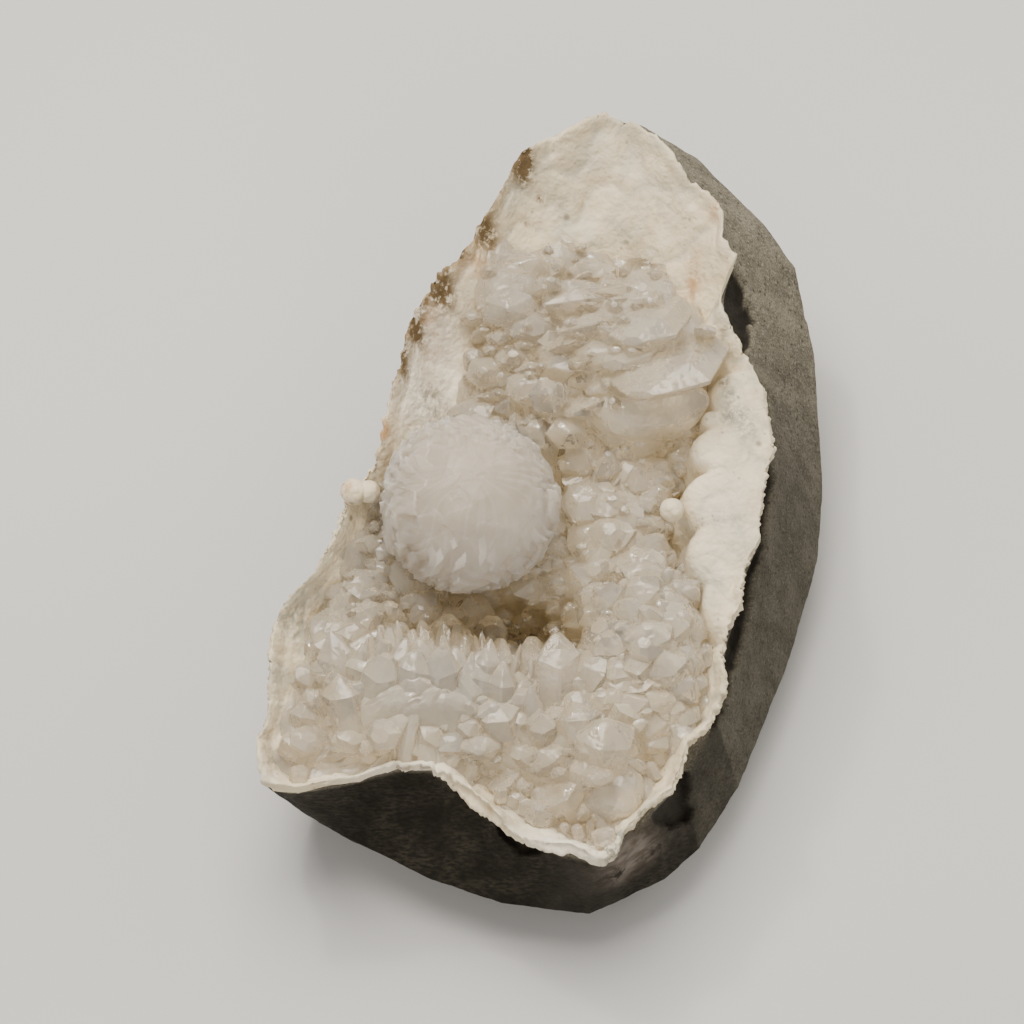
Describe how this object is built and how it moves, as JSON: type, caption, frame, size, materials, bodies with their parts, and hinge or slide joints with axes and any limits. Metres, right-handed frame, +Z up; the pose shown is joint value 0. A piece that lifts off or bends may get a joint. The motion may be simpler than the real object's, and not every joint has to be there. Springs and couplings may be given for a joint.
{
  "type": "goosecreekite specimen",
  "caption": "A milky ball of goosecreekite resting on quartz crystals in a pocket of grey basalt with a chalky white rim.",
  "frame": {"origin": "middle of the flat sawn back that the stone rests on, under the centre of its bounding box", "axes": "+Z up, out of the crystal pocket; +Y to the high pointed end of the face (the top of the specimen as it is shown); +X to the right seen from above with +Y away; the broken face leans 12 degrees down towards -Y"},
  "size_m": [0.0634, 0.0872, 0.0391],
  "materials": {
    "basalt": "dark grey basalt, sawn at the sides and rough at the broken bottom edge",
    "rind": "chalky cream-white lining, matt, with brown and orange iron stains along its left edge",
    "quartz": "milky translucent quartz crystals, cream, smoky brown in the gaps",
    "goosecreekite": "milky, slightly lavender, translucent ball of curved crystals with a pearly shine"
  },
  "bodies": {
    "root": {"basalt_matrix": "basalt", "white_rind": "rind", "quartz_crust": "quartz", "goosecreekite_ball": "goosecreekite"}
  },
  "joints": []
}
